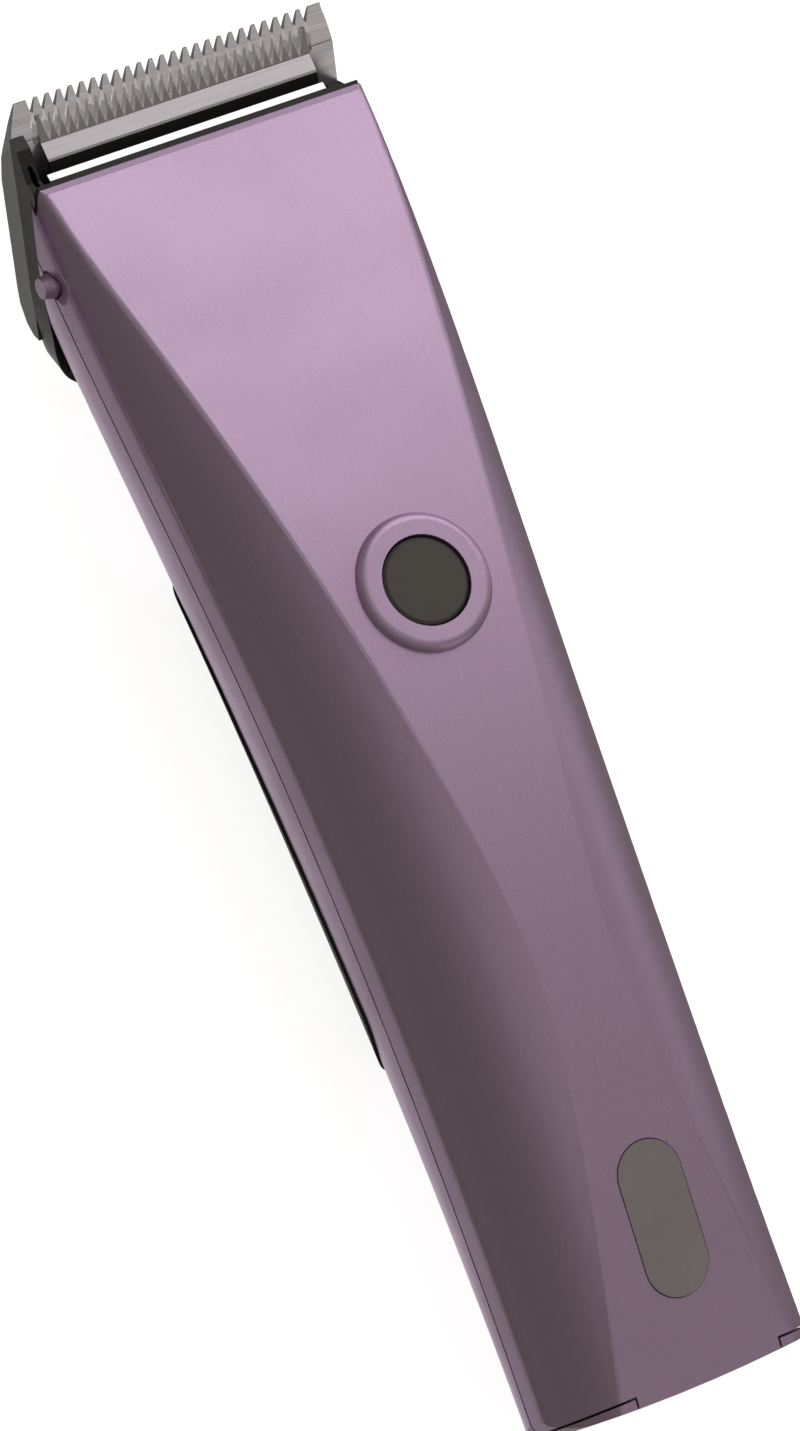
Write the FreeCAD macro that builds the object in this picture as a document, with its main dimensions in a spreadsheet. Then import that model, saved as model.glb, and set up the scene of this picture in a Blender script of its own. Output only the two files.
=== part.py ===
"""Cordless pet clipper, in millimetres.

X runs across the body, +Y points out of the blade end and +Z out of the face with the push button.
The clipper lies on its back. The origin is on the flat of the grip, under the middle of its length.
"""

import FreeCAD, Part
import math
import os

import Sketcher

V = FreeCAD.Vector
doc = FreeCAD.newDocument("clipper")
sheet = doc.addObject("Spreadsheet::Sheet", "sizes")

# ---------------------------------------------------------------- driving dimensions

# Cross-sections of the housing: place along Y, half width at the seam, height of the seam,
# rise of the section above the seam and its depth below the seam.
SECTION_SIZES = ("place", "half_width", "seam", "rise", "depth")
SECTIONS = {
    "head": (80.0, 23.6, 20.4, 14.2, 17.0),
    "neck": (50.5, 22.9, 20.7, 16.5, 17.8),
    "shoulder": (26.0, 21.1, 20.5, 18.0, 18.6),
    "waist": (1.8, 19.5, 19.6, 18.8, 19.0),
    "hip": (-34.3, 18.2, 17.3, 18.6, 16.5),
    "calf": (-60.0, 17.9, 15.0, 18.2, 13.3),
    "heel": (-90.0, 18.3, 12.2, 16.9, 9.3),
}

SIZES = {
    "roundness": 2.3,
    "wall": 1.8,
    "shut_gap": 0.3,
    # arched front face, from its front edge to the tail end
    "face_front": 75.5,
    "face_tail": -86.0,
    "face_end_height": 26.0,
    "face_arch": 10.8,
    "crease_round": 1.0,
    "tail_corner": 3.5,
    "tail_bulge": 0.5,
    "tail_cap_thick": 1.6,
    "tail_tab_half_width": 10.1,
    "tail_tab_depth": 3.2,
    # push button and the round plateau around it
    "button_place": 14.6,
    "button_radius": 5.4,
    "button_gap": 0.3,
    "button_thick": 2.6,
    "button_flange_radius": 6.8,
    "button_flange_thick": 0.8,
    "button_stem_radius": 1.6,
    "button_stem_length": 2.3,
    "plateau_radius": 8.7,
    "plateau_rise": 1.0,
    "plateau_shoulder": 1.25,
    # indicator window
    "lens_place": -65.9,
    "lens_width": 8.6,
    "lens_length": 19.5,
    "lens_thick": 2.2,
    "lens_gap": 0.12,
    # soft grip on the underside
    "grip_front": 28.0,
    "grip_tail": -37.0,
    "grip_top": 12.4,
    "grip_corner": 7.0,
    "grip_proud": 0.35,
    "grip_flat_half_width": 9.0,
    # lug on the left side of the head
    "lug_place": 64.7,
    "lug_height": 20.8,
    "lug_base_radius": 1.65,
    "lug_end_radius": 1.3,
    "lug_reach": 24.9,
    # blade pack: the sliding plane rises towards the comb tips
    "tip_place": 86.0,
    "tip_height": 26.22,
    "blade_slope": 32.98,
    "comb_half_width": 22.6,
    "comb_foot_half_width": 23.1,
    "comb_length": 30.6,
    "comb_thick": 2.8,
    "comb_teeth": 24,
    "comb_pitch": 1.6,
    "comb_tooth_tip": 0.45,
    "comb_tooth_belly": 1.36,
    "comb_tooth_neck": 0.8,
    "comb_belly": 1.9,
    "comb_slot": 6.0,
    "comb_travel": 1.6,
    "cutter_half_width": 18.85,
    "cutter_teeth": 29,
    "cutter_pitch": 1.3,
    "cutter_setback": 2.38,
    "cutter_root": 5.75,
    "cutter_shoulder": 7.65,
    "cutter_rear": 19.0,
    "cutter_tooth_thick": 0.55,
    "cutter_thick": 2.0,
    "cutter_cover": 0.4,
    "bar_front": 9.2,
    "bar_rear": 12.2,
    "bar_thick": 0.7,
    "bar_bevel": 0.57,
    "bar_half_width": 19.4,
    "holder_half_width": 22.7,
    "arm_inner": 20.8,
    # hinge at the lower lip: a pin, two knuckles on the housing and a hook on the blade holder
    "hinge_place": 51.5,
    "hinge_height": 4.6,
    "hinge_radius": 0.8,
    "knuckle_radius": 1.7,
    "hook_half_width": 5.0,
    "knuckle_end": 7.6,
    # motor and its drive pin
    "axis_height": 17.2,
    "motor_rear": 20.0,
    "motor_front": 51.0,
    "motor_radius": 11.6,
    "motor_wall": 1.0,
    "shaft_radius": 1.0,
    "bearing_gap": 0.05,
    "rotor_radius": 8.4,
    "cam_front": 57.4,
    "cam_rear": 53.4,
    "cam_radius": 4.6,
    "pin_front": 67.0,
    "pin_throw": 1.2,
    "pin_radius": 1.0,
    # cell, boards and charging socket
    "cell_radius": 9.1,
    "cell_length": 50.0,
    "cell_tail": -74.0,
    "cell_height": 14.6,
    "board_width": 24.0,
    "board_length": 36.0,
    "board_thick": 1.6,
    "board_middle": 1.5,
    "board_height": 28.2,
    "socket_height": 12.6,
    "socket_radius": 3.4,
    "socket_bore": 1.8,
    "socket_depth": 9.0,
}

SIDE = 60.0  # more than half of the housing's width, for tools that cut right through
FINE = 0.02  # gap between a soft skin and the wall below it

row = 0
for section, values in SECTIONS.items():
    for size, value in zip(SECTION_SIZES, values):
        row += 1
        sheet.set(f"A{row}", f"{section}_{size}")
        sheet.set(f"B{row}", str(value))
        sheet.setAlias(f"B{row}", f"{section}_{size}")
for alias, value in SIZES.items():
    row += 1
    sheet.set(f"A{row}", alias)
    sheet.set(f"B{row}", str(value))
    sheet.setAlias(f"B{row}", alias)
doc.recompute()


def size(alias):
    """A driving dimension, read from the sheet."""
    return float(sheet.get(alias))


# ---------------------------------------------------------------- helpers for sketched bodies

pieces = []


def keep(piece):
    """Counts an object as a finished sub-part; its Label names its file."""
    pieces.append(piece)
    return piece


def shaped(label, shape):
    """A sub-part whose shape comes from Part's own functions."""
    piece = doc.addObject("Part::Feature", label)
    piece.Shape = shape
    return keep(piece)


def new_body(label, placement):
    body = doc.addObject("PartDesign::Body", label)
    body.Placement = placement
    return keep(body)


def new_sketch(body, role):
    sketch = body.newObject("Sketcher::SketchObject", body.Name + "_sketch")
    plane = next(f for f in body.Origin.OriginFeatures if f.Role == role)
    sketch.AttachmentSupport = [(plane, "")]
    sketch.MapMode = "FlatFace"
    return sketch


def set_distance(sketch, kind, vertex, text):
    """Holds a vertex at a signed distance from the sketch's origin, worked out by an expression."""
    if text == "0":
        sketch.addConstraint(Sketcher.Constraint("PointOnObject", *vertex, -2 if kind == "DistanceX" else -1))
        return
    index = sketch.addConstraint(Sketcher.Constraint(kind, -1, 1, *vertex, 1.0 + vertex[0]))
    sketch.setExpression(f"Constraints[{index}]", text)


def add_outline(sketch, corners):
    """A closed polygon through corners, each given as two expressions."""
    first = sketch.GeometryCount
    count = len(corners)
    turn = 2 * math.pi / count
    ring_points = [V(math.cos(k * turn), math.sin(k * turn), 0) for k in range(count)]
    for k in range(count):
        sketch.addGeometry(Part.LineSegment(ring_points[k], ring_points[(k + 1) % count]))
    for k in range(count):
        after = first + (k + 1) % count
        sketch.addConstraint(Sketcher.Constraint("Coincident", first + k, 2, after, 1))
    for k, (across, along) in enumerate(corners):
        set_distance(sketch, "DistanceX", (first + k, 1), across)
        set_distance(sketch, "DistanceY", (first + k, 1), along)


def add_circle(sketch, radius, across="0", along="0"):
    index = sketch.addGeometry(Part.Circle(V(0, 0, 0), V(0, 0, 1), 1.0))
    set_distance(sketch, "DistanceX", (index, 3), across)
    set_distance(sketch, "DistanceY", (index, 3), along)
    held = sketch.addConstraint(Sketcher.Constraint("Radius", index, 1.0))
    sketch.setExpression(f"Constraints[{held}]", radius)


def add_rectangle(sketch, width, length, middle="0"):
    side = f"({width}) / 2"
    far, near = (f"({middle}) + ({length}) / 2", f"({middle}) - ({length}) / 2")
    add_outline(sketch, [(side, near), (side, far), (f"-{side}", far), (f"-{side}", near)])


def pad(body, sketch, length, midplane=False, reverse=False):
    feature = body.newObject("PartDesign::Pad", body.Name + "_pad")
    feature.Profile = sketch
    feature.setExpression("Length", length)
    feature.Midplane = midplane
    feature.Reversed = reverse
    body.Tip = feature
    return feature


def revolve(body, sketch):
    """Turns a sketch on the XZ plane about the body's Z axis."""
    feature = body.newObject("PartDesign::Revolution", body.Name + "_turned")
    feature.Profile = sketch
    feature.ReferenceAxis = (sketch, ["V_Axis"])
    feature.Angle = 360
    body.Tip = feature
    return feature


def turned_piece(label, placement, corners):
    """A round piece: corners are radius and height, as expressions."""
    body = new_body(label, placement)
    sketch = new_sketch(body, "XZ_Plane")
    add_outline(sketch, corners)
    revolve(body, sketch)
    return body


def place(position, direction=V(0, 0, 1)):
    """A placement whose Z axis points along direction."""
    return FreeCAD.Placement(position, FreeCAD.Rotation(V(0, 0, 1), direction))


# ---------------------------------------------------------------- helpers for the housing's form


def section_values():
    return [[size(f"{name}_{part}") for part in SECTION_SIZES] for name in SECTIONS]


def half_ring(at, half_width, seam, reach, roundness, upward):
    """Half of a superellipse, upright at its two ends on the seam."""
    steps = 16
    side = 1 if upward else -1
    points = []
    for k in range(steps + 1):
        angle = math.pi * k / steps
        across = abs(math.cos(angle)) ** (2 / roundness) * math.copysign(1, math.cos(angle))
        up = math.sin(angle) ** (2 / roundness) if 0 < k < steps else 0.0
        points.append(V(side * across * half_width, at, seam + side * up * reach))
    curve = Part.BSplineCurve()
    curve.interpolate(Points=points, InitialTangent=V(0, 0, side), FinalTangent=V(0, 0, -side))
    return curve.toShape()


def ring(at, half_width, seam, rise, depth, roundness):
    upper = half_ring(at, half_width, seam, rise, roundness, True)
    lower = half_ring(at, half_width, seam, depth, roundness, False)
    return Part.Wire([upper, lower])


def tube(grow):
    """The rounded housing form, grown outwards by an amount (inwards when negative)."""
    rings = [
        ring(at, half_width + grow, seam, rise + grow, depth + grow, size("roundness"))
        for at, half_width, seam, rise, depth in section_values()
    ]
    return Part.makeLoft(rings, True, False)


def arch_radius():
    half_chord = (size("face_front") - size("face_tail")) / 2
    return (half_chord**2 + size("face_arch") ** 2) / (2 * size("face_arch"))


def arch_middle():
    return (size("face_front") + size("face_tail")) / 2


def face_height(at, grow=0.0):
    """Height of the arched front face at a place along Y."""
    radius = arch_radius() + grow
    top = size("face_end_height") + size("face_arch") + grow
    return top - radius + math.sqrt(radius**2 - (at - arch_middle()) ** 2)


def face_normal(at):
    lean = math.asin((at - arch_middle()) / arch_radius())
    return V(0, math.sin(lean), math.cos(lean))


def across_prism(points, half_width=SIDE):
    """A prism along X over a closed outline of (y, z) points."""
    corners = [V(-half_width, y, z) for y, z in points]
    face = Part.Face(Part.makePolygon(corners + corners[:1]))
    return face.extrude(V(2 * half_width, 0, 0))


def side_form(grow):
    """Everything below the arched front face and ahead of the tail's end face."""
    start, end, low = size("tip_place"), size("face_tail"), -20.0
    middle = arch_middle()
    top_arc = Part.Arc(
        V(-SIDE, start, face_height(start, grow)),
        V(-SIDE, middle, face_height(middle, grow)),
        V(-SIDE, end, face_height(end, grow)),
    )
    down = Part.makePolygon([
        V(-SIDE, end, face_height(end, grow)),
        V(-SIDE, end, low),
        V(-SIDE, start, low),
        V(-SIDE, start, face_height(start, grow)),
    ])
    outline = Part.Wire([top_arc.toShape()] + down.Edges)
    return Part.Face(outline).extrude(V(2 * SIDE, 0, 0))


def plan_form():
    """The tail's plan: a slightly bulged end with rounded corners."""
    half, end, radius = size("heel_half_width"), size("face_tail"), size("tail_corner")
    inner = half - radius
    bend = radius * math.sqrt(0.5)
    start = end + size("tail_bulge")
    middle = start + radius - bend
    right = Part.Arc(V(half, start + radius, 0), V(inner + bend, middle, 0), V(inner, start, 0))
    back = Part.Arc(V(inner, start, 0), V(0, end, 0), V(-inner, start, 0))
    left = Part.Arc(V(-inner, start, 0), V(-inner - bend, middle, 0), V(-half, start + radius, 0))
    front = Part.makePolygon([
        V(-half, start + radius, 0),
        V(-SIDE, -SIDE, 0),
        V(-SIDE, 2 * SIDE, 0),
        V(SIDE, 2 * SIDE, 0),
        V(SIDE, -SIDE, 0),
        V(half, start + radius, 0),
    ])
    outline = Part.Wire([right.toShape(), back.toShape(), left.toShape()] + front.Edges)
    return Part.Face(outline).extrude(V(0, 0, 2 * SIDE)).translated(V(0, 0, -SIDE))


# The mouth of the housing, from the front edge of the face down to the belly, as (y, z).
MOUTH = [(76.6, 26.85), (64.2, 17.7), (61.1, 15.2), (57.9, 13.6), (54.8, 10.4), (50.5, 3.4), (47.2, -2.0)]


def behind_mouth(forward):
    """Everything behind the mouth's line, which is moved forward by an amount."""
    line = [(y + forward, z) for y, z in MOUTH]
    return across_prism([(MOUTH[0][0] + forward, 60.0)] + line + [(-150.0, -2.0), (-150.0, 60.0)])


def above_seam(shift):
    """Everything above the seam, whose line runs through the widest points of the sections."""
    points = [V(-SIDE, at, seam + shift) for at, _, seam, _, _ in section_values()]
    points = [V(-SIDE, 2 * SIDE, points[0].z)] + points + [V(-SIDE, -2 * SIDE, points[-1].z - 2.0)]
    curve = Part.BSplineCurve()
    curve.interpolate(Points=points)
    lid = Part.makePolygon([points[-1], V(-SIDE, -2 * SIDE, 80), V(-SIDE, 2 * SIDE, 80), points[0]])
    return Part.Face(Part.Wire([curve.toShape()] + lid.Edges)).extrude(V(2 * SIDE, 0, 0))


def box(low, high):
    return Part.makeBox(high[0] - low[0], high[1] - low[1], high[2] - low[2], V(*low))


def stadium_prism(width, length, height):
    """An upright prism with round ends, its long side along Y, standing on the XY plane."""
    radius, straight = width / 2, length - width
    bar = box((-radius, -straight / 2, 0), (radius, straight / 2, height))
    ends = [Part.makeCylinder(radius, height, V(0, side * straight / 2, 0)) for side in (-1, 1)]
    return bar.fuse(ends).removeSplitter()


def moved(shape, placement):
    shape = shape.copy()
    shape.Placement = placement
    return shape


# ---------------------------------------------------------------- housing


def button_axis(above=0.0):
    """Placement on the front face under the push button's middle, looking out of the face."""
    at = size("button_place")
    normal = face_normal(at)
    return place(V(0, at, face_height(at)) + normal * above, normal)


def lens_axis(above=0.0):
    at = size("lens_place")
    normal = face_normal(at)
    return place(V(0, at, face_height(at)) + normal * above, normal)


def make_housing():
    wall, gap = size("wall"), size("shut_gap")
    tail_face = size("face_tail") + size("tail_cap_thick")
    tab_half = size("tail_tab_half_width")
    tab_low = size("face_end_height") - size("tail_tab_depth")
    outer = tube(0.0).common(side_form(0.0)).common(plan_form())
    creases = [edge for edge in outer.Edges if edge.BoundBox.YLength > SIDE and edge.BoundBox.ZMin > tab_low]
    outer = outer.makeFillet(size("crease_round"), creases)
    inner = tube(-wall).common(side_form(-wall))
    ahead_of_cap = box((-SIDE, tail_face + gap / 2, -20), (SIDE, 120, 80))
    behind_cap = box((-SIDE, -120, -20), (SIDE, tail_face - gap / 2, 80))
    skin = outer.cut(inner).common(behind_mouth(0.0)).common(ahead_of_cap)

    # front shell: its flat panel runs over the cap to the tail's end
    tab_box = box((-tab_half, -120, tab_low), (tab_half, tail_face + 2, 80))
    tab_room = box((-tab_half - gap, -120, tab_low - gap), (tab_half + gap, tail_face + 2, 80))
    front = skin.common(above_seam(gap / 2)).fuse(outer.common(tab_box).common(behind_mouth(0.0)))
    hollow_below_tab = box((-tab_half, tail_face + gap / 2, 0), (tab_half, tail_face + 4, 80))
    front = front.cut(hollow_below_tab.common(inner))
    front = front.cut(lip_chamfer())
    front = front.fuse(moved(make_plateau(), button_axis()))
    hole = Part.makeCylinder(size("button_radius") + size("button_gap"), 4 * wall)
    front = front.cut(moved(hole, button_axis(-2 * wall)))
    room = Part.makeCylinder(size("button_flange_radius") + size("button_gap"), 4 * wall)
    front = front.cut(moved(room, button_axis(-5 * wall + size("plateau_rise") + 0.1)))
    lens_gap = size("lens_gap")
    window = stadium_prism(size("lens_width") + 2 * lens_gap, size("lens_length") + 2 * lens_gap, 4 * wall)
    front = front.cut(moved(window, lens_axis(-2 * wall)))
    front = front.cut(make_lug(gap)).cut(make_scoop())
    for across, at, _ in SCREWS.values():
        post = Part.makeCylinder(SCREW_POST, 40, V(across, at, BOSS_TOP + 0.05)).common(outer)
        front = front.fuse(post)
        front = front.cut(Part.makeCylinder(SCREW_SHANK, 5, V(across, at, BOSS_TOP)))
    shaped("front_shell", front.removeSplitter())

    # rear shell, with the lug and two screw bosses
    rear = skin.cut(above_seam(-gap / 2)).cut(tab_room)
    rear = rear.fuse(make_lug(0.0).cut(inner)).fuse(hinge_knuckles())
    for across, at, seat in SCREWS.values():
        base = Part.makeCylinder(SCREW_BASE, seat + 1.6, V(across, at, 0))
        boss = base.fuse(Part.makeCylinder(SCREW_POST + 0.2, BOSS_TOP, V(across, at, 0))).common(outer)
        rear = rear.fuse(boss)
        rear = rear.cut(Part.makeCylinder(SCREW_SHANK + 0.05, BOSS_TOP + 10, V(across, at, -5)))
        rear = rear.cut(Part.makeCylinder(SCREW_HEAD + 0.3, seat + 5, V(across, at, -5)))
    reach = size("hook_half_width") + 0.25
    rear = rear.cut(hinge_bar(size("knuckle_radius") + 0.35, -reach, reach))
    rear = rear.cut(hinge_bar(size("hinge_radius"), -size("knuckle_end") + 0.5, size("knuckle_end") - 0.5))
    shaped("rear_shell", rear.removeSplitter())

    cap = outer.common(behind_cap).cut(tab_room)
    socket = Part.makeCylinder(size("socket_radius") + 0.05, 10, V(0, -90, size("socket_height")), V(0, 1, 0))
    shaped("tail_cap", cap.cut(socket).removeSplitter())


# Screws that close the housing, from the underside: places across and along, and height of the seat.
SCREWS = {"front": (0.0, -19.8, 4.6), "rear_left": (-9.5, -79.0, 6.6), "rear_right": (9.5, -79.0, 6.6)}
SCREW_HEAD = 2.5
SCREW_SHANK = 1.25
SCREW_POST = 2.4
SCREW_BASE = 3.8
BOSS_TOP = 10.0


LIP_CHAMFER = (0.8, 0.2)  # length along the face and drop at the mouth


def lip_chamfer():
    """Wedge off the front edge of the front face, over the mouth."""
    length, drop = LIP_CHAMFER
    (near, low), (far, high) = MOUTH[1], MOUTH[0]
    edge = near + (size("face_end_height") - drop - low) * (far - near) / (high - low)
    start = (edge - length, face_height(edge - length))
    slant = (face_height(edge - length) - (size("face_end_height") - drop)) / length
    ahead = length + LIP_BROW_FORWARD + 1.0
    end = (start[0] + ahead, start[1] - slant * ahead)
    return across_prism([start, end, (end[0], start[1] + 2.0), (start[0], start[1] + 2.0)])


def make_plateau():
    """Round pad under the button's rim, with a broad rounded shoulder; its base is at the face."""
    wall, radius, rise = size("wall"), size("plateau_radius"), size("plateau_rise")
    flat = radius - size("plateau_shoulder")
    curve = Part.Arc(V(radius, 0, 0), V(0.7 * radius + 0.3 * flat, 0, 0.68 * rise), V(flat, 0, rise))
    rest = [(flat, rise), (0, rise), (0, -wall), (radius, -wall), (radius, 0)]
    rest = Part.makePolygon([V(x, 0, z) for x, z in rest])
    outline = Part.Wire([curve.toShape()] + rest.Edges)
    return Part.Face(outline).revolve(V(0, 0, 0), V(0, 0, 1), 360)


def hinge_bar(radius, start, end):
    """A cylinder on the hinge's axis, from one place across to another."""
    foot = V(start, size("hinge_place"), size("hinge_height"))
    return Part.makeCylinder(radius, end - start, foot, V(1, 0, 0))


HINGE_PLAY = 0.12


def hinge_knuckles():
    """Two round ears at the lower lip, bored for the pin."""
    near, far = size("hook_half_width") + 0.25, size("knuckle_end")
    ears = [hinge_bar(size("knuckle_radius"), *span) for span in ((-far, -near), (near, far))]
    return ears[0].fuse(ears[1])


def make_lug(grow):
    """The small peg on the left of the head, flared at its base."""
    base, end = size("lug_base_radius") + grow, size("lug_end_radius") + grow
    foot = V(-22.0, size("lug_place"), size("lug_height"))
    reach = size("lug_reach") - 22.0
    flare = Part.makeCylinder(base, reach - 1.4, foot, V(-1, 0, 0))
    peg = Part.makeCone(base, end, 1.4, foot - V(reach - 1.4, 0, 0), V(-1, 0, 0))
    return flare.fuse(peg).removeSplitter()


SCOOP_RADIUS = 3.5


def make_scoop():
    """Shallow thumb recess in the front shell, beside the lug."""
    middle = V(-26.4, size("lug_place") - 1.2, size("lug_height") + 2.2)
    return Part.makeSphere(SCOOP_RADIUS, middle, V(0, 1, 0))


def make_grip():
    """Soft saddle on the underside, with a flat that the clipper rests on."""
    top, front, tail = size("grip_top"), size("grip_front"), size("grip_tail")
    saddle = across_prism([(front, -3.0), (front, top), (tail, top), (tail, -3.0)])
    corners = [edge for edge in saddle.Edges if edge.BoundBox.XLength > SIDE and edge.Vertexes[0].Z > 0]
    saddle = saddle.makeFillet(size("grip_corner"), corners)
    half = size("grip_flat_half_width")
    flat = box((-half, tail + 2.5, 0.0), (half, front - 2.0, 6.0))
    slab = box((-SIDE, -60, 0.0), (SIDE, 60, 40))
    form = tube(size("grip_proud")).fuse(flat).common(saddle).common(slab)
    hole = Part.makeCylinder(SCREW_HEAD + 0.3, 20, V(*SCREWS["front"][:2], -5))
    shaped("grip_insert", form.cut(tube(FINE)).cut(hole).removeSplitter())


def make_liner():
    """Black liner inside the mouth, with a lip in front of the shells' edge."""
    def form(grow):
        return tube(grow).common(side_form(grow))

    sleeve_outside, inside = -size("wall") - 0.05, -size("wall") - 1.1
    lip = form(-LIP_INSET).cut(lip_chamfer()).common(behind_mouth(LIP_FORWARD)).cut(behind_mouth(FINE))
    sleeve = form(sleeve_outside).common(behind_mouth(LIP_FORWARD)).cut(behind_mouth(-3.0))
    between_arms = size("arm_inner") - LIP_BROW_CLEAR
    brow = form(-LIP_INSET).cut(lip_chamfer()).common(behind_mouth(LIP_BROW_FORWARD)).cut(behind_mouth(FINE))
    brow = brow.common(box((-between_arms, 60, LIP_BROW_LOW), (between_arms, 90, 40)))
    clear = box((-SIDE, 40, -10), (SIDE, 95, 14.6))
    shaped("mouth_liner", lip.fuse([sleeve, brow]).cut(form(inside)).cut(clear).removeSplitter())


LIP_FORWARD = 1.05
LIP_INSET = 0.2
# The lip stands further forward over the bar, between the holder's arms.
LIP_BROW_FORWARD = 1.5
LIP_BROW_LOW = 24.2
LIP_BROW_CLEAR = 0.4


# ---------------------------------------------------------------- button and window


def make_button():
    flange = "<<sizes>>.button_flange_radius"
    radius = "<<sizes>>.button_radius"
    thick = "<<sizes>>.button_thick"
    under = "<<sizes>>.button_flange_thick"
    stem = "<<sizes>>.button_stem_radius"
    length = "<<sizes>>.button_stem_length"
    top = size("plateau_rise") - 0.12
    turned_piece("power_button", button_axis(top), [
        ("0", "0"),
        (f"({radius} - 0.35)", "0"),
        (radius, "-0.25"),
        (radius, f"-{thick}"),
        (flange, f"-{thick}"),
        (flange, f"-({thick} + {under})"),
        (stem, f"-({thick} + {under})"),
        (stem, f"-({thick} + {under} + {length})"),
        ("0", f"-({thick} + {under} + {length})"),
    ])


def make_lens():
    """Window with round ends, its long side along the face."""
    body = new_body("indicator_lens", lens_axis(0.05))
    sketch = new_sketch(body, "XY_Plane")
    radius, middle = size("lens_width") / 2, (size("lens_length") - size("lens_width")) / 2
    sketch.addGeometry([
        Part.ArcOfCircle(Part.Circle(V(0, middle, 0), V(0, 0, 1), radius), 0, math.pi),
        Part.ArcOfCircle(Part.Circle(V(0, -middle, 0), V(0, 0, 1), radius), math.pi, 2 * math.pi),
        Part.LineSegment(V(-radius, middle, 0), V(-radius, -middle, 0)),
        Part.LineSegment(V(radius, -middle, 0), V(radius, middle, 0)),
    ])
    for ends in ((0, 2, 2, 1), (2, 2, 1, 1), (1, 2, 3, 1), (3, 2, 0, 1)):
        sketch.addConstraint(Sketcher.Constraint("Tangent", *ends))
    sketch.addConstraint(Sketcher.Constraint("Vertical", 2))
    sketch.addConstraint(Sketcher.Constraint("Symmetric", 0, 3, 1, 3, -1, 1))
    round_end = sketch.addConstraint(Sketcher.Constraint("Radius", 0, radius))
    apart = sketch.addConstraint(Sketcher.Constraint("DistanceY", 1, 3, 0, 3, 2 * middle))
    sketch.setExpression(f"Constraints[{round_end}]", "<<sizes>>.lens_width / 2")
    sketch.setExpression(f"Constraints[{apart}]", "<<sizes>>.lens_length - <<sizes>>.lens_width")
    pad(body, sketch, "<<sizes>>.lens_thick", reverse=True)


# ---------------------------------------------------------------- blade pack


def slope():
    return math.radians(size("blade_slope"))


def blade_point(back, up):
    """A point of the blade's side view: distance back from the comb tips and height off the sliding plane."""
    along, lift = math.cos(slope()), math.sin(slope())
    return (size("tip_place") - back * along - up * lift, size("tip_height") - back * lift + up * along)


def blade_normal():
    """The direction square to the sliding plane, away from the skin."""
    return V(0, -math.sin(slope()), math.cos(slope()))


def blade_prism(points, half_width):
    return across_prism([blade_point(back, up) for back, up in points], half_width)


def blade_tools(outlines, low, high):
    """Prisms normal to the blade, over outlines of (x, back) points."""
    lift = blade_normal() * (high - low)
    tools = []
    for outline in outlines:
        corners = [V(x, *blade_point(back, low)) for x, back in outline]
        tools.append(Part.Face(Part.makePolygon(corners + corners[:1])).extrude(lift))
    return tools


def blade_strips(outlines, start, end):
    """Prisms along the blade's length, over outlines of (x, up) points."""
    run = V(0, *blade_point(end, 0)) - V(0, *blade_point(start, 0))
    tools = []
    for outline in outlines:
        corners = [V(x, *blade_point(start, up)) for x, up in outline]
        tools.append(Part.Face(Part.makePolygon(corners + corners[:1])).extrude(run))
    return tools


def mirrored(outline):
    return [(-x, other) for x, other in outline]


def comb_gap(middle):
    """The gap between two comb teeth, which are widest at their belly."""
    pitch, belly, end = size("comb_pitch"), size("comb_belly"), size("comb_slot")
    wide = (pitch - size("comb_tooth_tip")) / 2
    tight = (pitch - size("comb_tooth_belly")) / 2
    inner = (pitch - size("comb_tooth_neck")) / 2
    side = [(wide, -2.0), (wide, 0.0), (tight, belly), (inner, belly + 1.6), (inner, end - inner)]
    right = [(middle + x, back) for x, back in side]
    left = [(middle - x, back) for x, back in reversed(side)]
    return right + [(middle, end)] + left


def make_comb():
    thick, length = size("comb_thick"), size("comb_length")
    half, foot = size("comb_half_width"), size("comb_foot_half_width")
    under = [(length - 0.5, -0.9), (length - 1.9, -1.9), (length - 4.4, -thick + 0.1), (length - 6.5, -thick)]
    nose = [(10.0, -thick), (6.2, -2.1), (0.3, -0.35), (0, -0.2)]
    plate = blade_prism([(0, 0), (length, 0)] + under + nose, foot)
    pitch, count = size("comb_pitch"), int(size("comb_teeth"))
    gaps = [comb_gap((k - count / 2) * pitch) for k in range(count + 1)]
    corner = [(foot + 1, -1.0), (half - 1.1, -1.0), (half - 1.1, 0.3), (half - 0.5, 2.6), (half + 0.1, 5.6),
              (foot + 0.1, 8.0), (foot + 1, 8.0)]
    plate = plate.cut(blade_tools(gaps + [corner, mirrored(corner)], -6.0, 6.0))
    side = [(half, 0.0), (foot, -thick), (foot + 1, -thick), (foot + 1, 1.0), (half, 1.0)]
    plate = plate.cut(blade_strips([side, mirrored(side)], -1.0, length + 1.0))
    fold = across_prism([blade_point(*point) for point in FOLD])
    between = [(-FOLD_INNER, -1.0), (FOLD_INNER, -1.0), (FOLD_INNER, 1.0), (-FOLD_INNER, 1.0)]
    plate = plate.cut(fold.cut(blade_strips([between], 4.0, 6.0)))
    for side in (-1, 1):
        plate = plate.cut(comb_slot_tool(side, 1.65, -6.0, 6.0)).cut(comb_slot_tool(side, 2.75, -6.0, -1.4))
    shaped("comb_blade", plate.removeSplitter())


# A fine groove across the two wide end teeth, as (back, up), and the half width between them.
FOLD = [(4.9, 0.1), (5.25, 0.1), (5.15, -0.16), (5.0, -0.16)]
FOLD_INNER = 19.5


# The two screws that hold the comb: places across and back from the tips, and the shank.
COMB_SCREW_ACROSS = 14.0
COMB_SCREW_BACK = 23.4
COMB_SCREW_RADIUS = 1.45


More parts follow.
